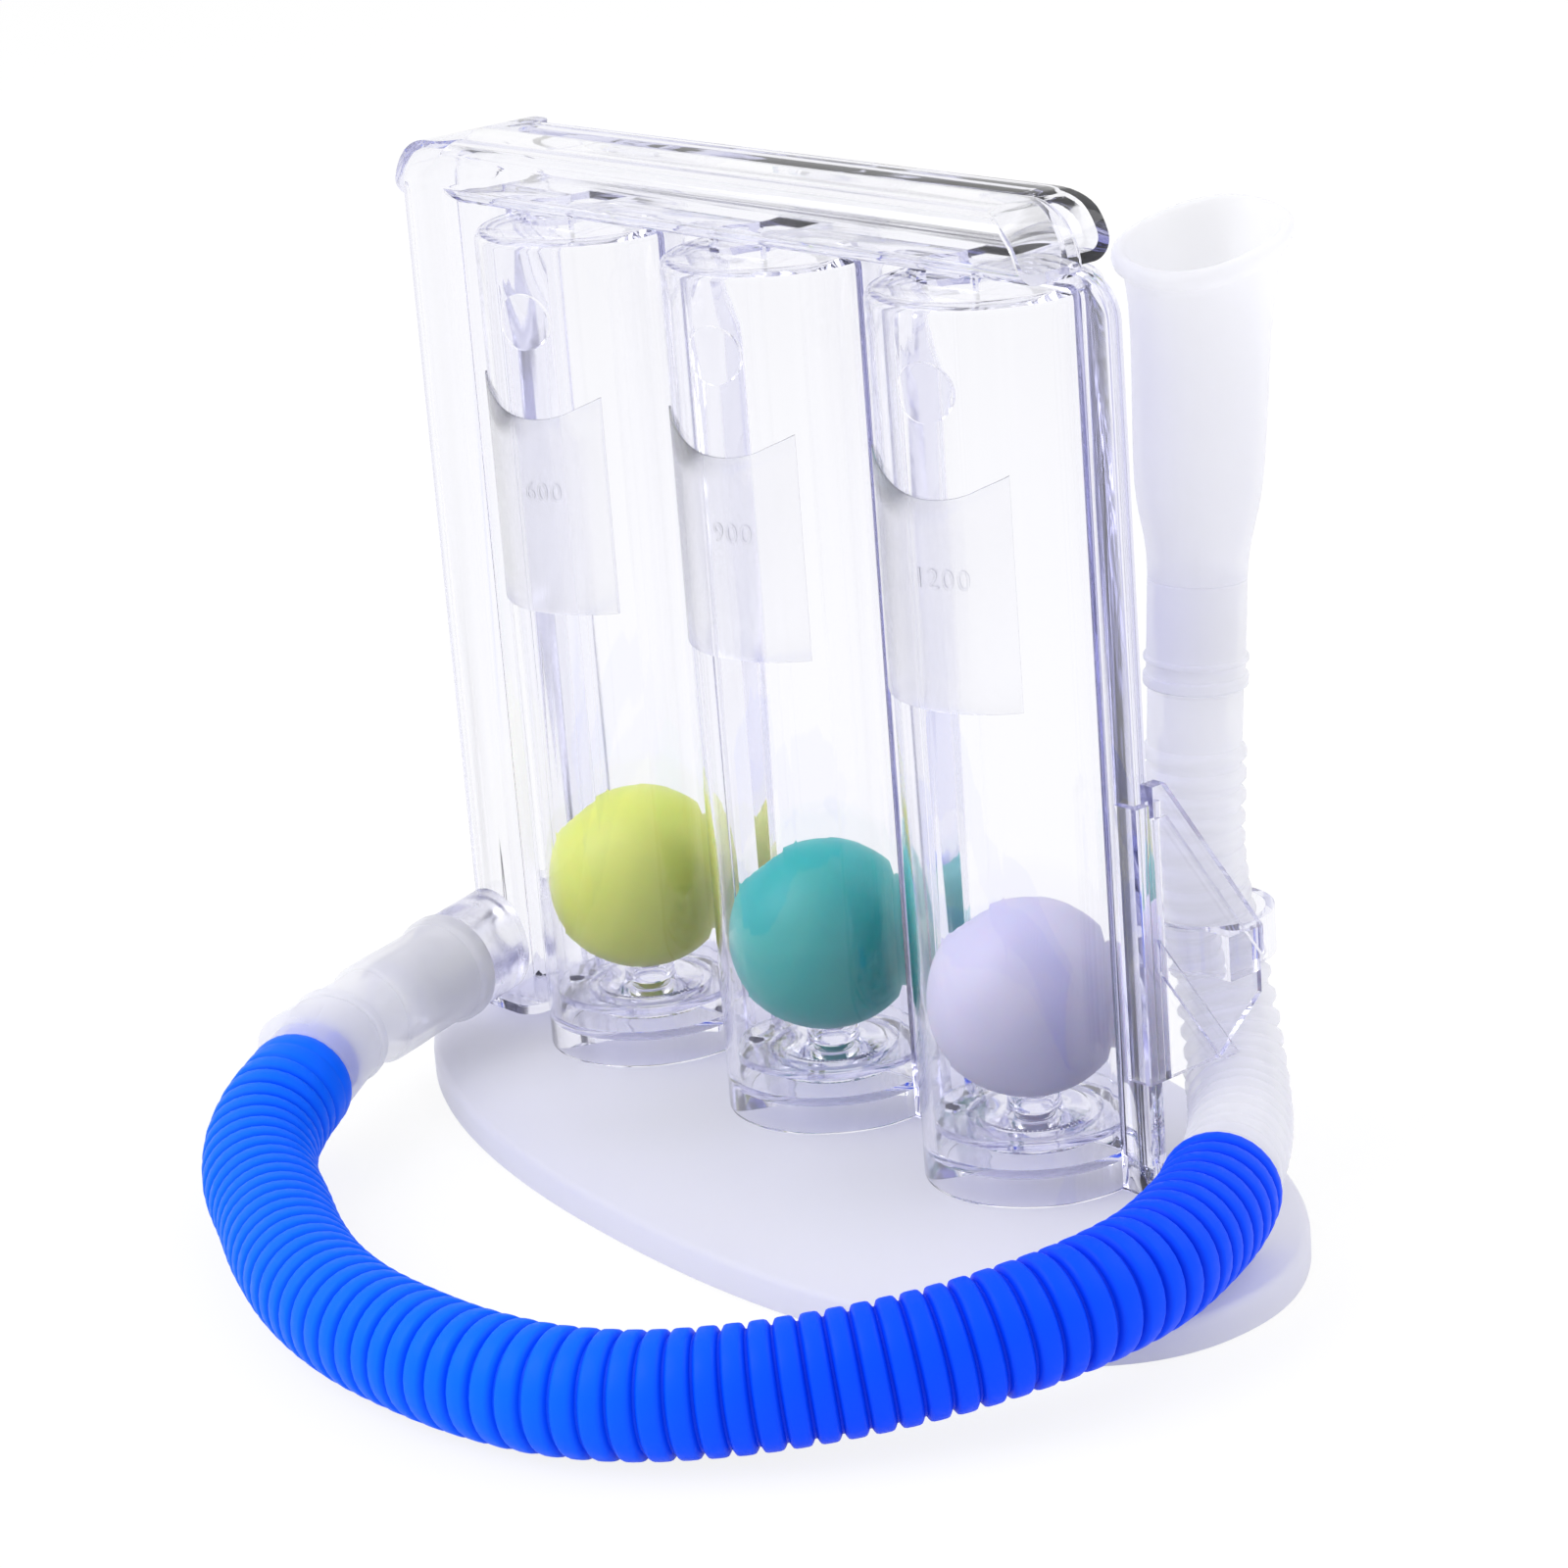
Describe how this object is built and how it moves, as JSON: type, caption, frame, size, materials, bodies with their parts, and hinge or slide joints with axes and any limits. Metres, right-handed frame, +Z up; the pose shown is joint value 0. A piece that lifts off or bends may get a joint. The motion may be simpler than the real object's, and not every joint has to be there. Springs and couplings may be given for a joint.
{
  "type": "breathing trainer",
  "caption": "Clear tabletop breathing trainer: balls in side-by-side tubes on an oval foot, with a corrugated blue hose and a flared mouthpiece held upright at the side.",
  "frame": {"origin": "on the surface that the foot stands on, at the middle of the plan of the foot and body", "axes": "+X to the right along the row of tubes, +Y from the tubes' fronts to the back, +Z up"},
  "size_m": [0.1716, 0.1368, 0.1312],
  "materials": {
    "clear_shell": "clear",
    "frosted_foot": "frosted",
    "clear_bracket": "clear",
    "seat": "clear",
    "green_ball": "satin",
    "teal_ball": "satin",
    "lilac_ball": "satin",
    "label": "clear",
    "port": "clear",
    "soft_white": "translucent",
    "blue_hose": "satin",
    "clear_hose": "translucent",
    "mouthpiece": "translucent"
  },
  "bodies": {
    "trainer": {"front_shell": "clear_shell", "back_shell": "clear_shell", "foot_plate": "frosted_foot", "holder_wing": "clear_bracket", "seat_left": "seat", "seat_middle": "seat", "seat_right": "seat", "label_left": "label", "label_middle": "label", "label_right": "label", "hose_port": "port", "port_cuff": "soft_white", "hose_collar": "soft_white", "hose_blue": "blue_hose", "hose_clear": "clear_hose"},
    "left_ball": {"ball_left": "green_ball"},
    "middle_ball": {"ball_middle": "teal_ball"},
    "right_ball": {"ball_right": "lilac_ball"},
    "cuff": {"mouth_cuff": "soft_white"},
    "mouth": {"mouthpiece": "mouthpiece"}
  },
  "joints": [
    {"name": "left_ball_lift", "type": "slide", "parent": "trainer", "child": "left_ball", "axis": [0, 0, 1], "range_m": [0, 0.0785]},
    {"name": "middle_ball_lift", "type": "slide", "parent": "trainer", "child": "middle_ball", "axis": [0, 0, 1], "range_m": [0, 0.0785]},
    {"name": "right_ball_lift", "type": "slide", "parent": "trainer", "child": "right_ball", "axis": [0, 0, 1], "range_m": [0, 0.0785]},
    {"name": "mouth_swivel", "type": "hinge", "parent": "trainer", "child": "cuff", "pos_m": [0.0452, 0.0256, 0.066], "axis": [0.0401, 0.0488, 0.998], "range_deg": [-5, 170]},
    {"name": "mouthpiece_pull", "type": "slide", "parent": "cuff", "child": "mouth", "axis": [0.0401, 0.0488, 0.998], "range_m": [0, 0.0075]}
  ]
}
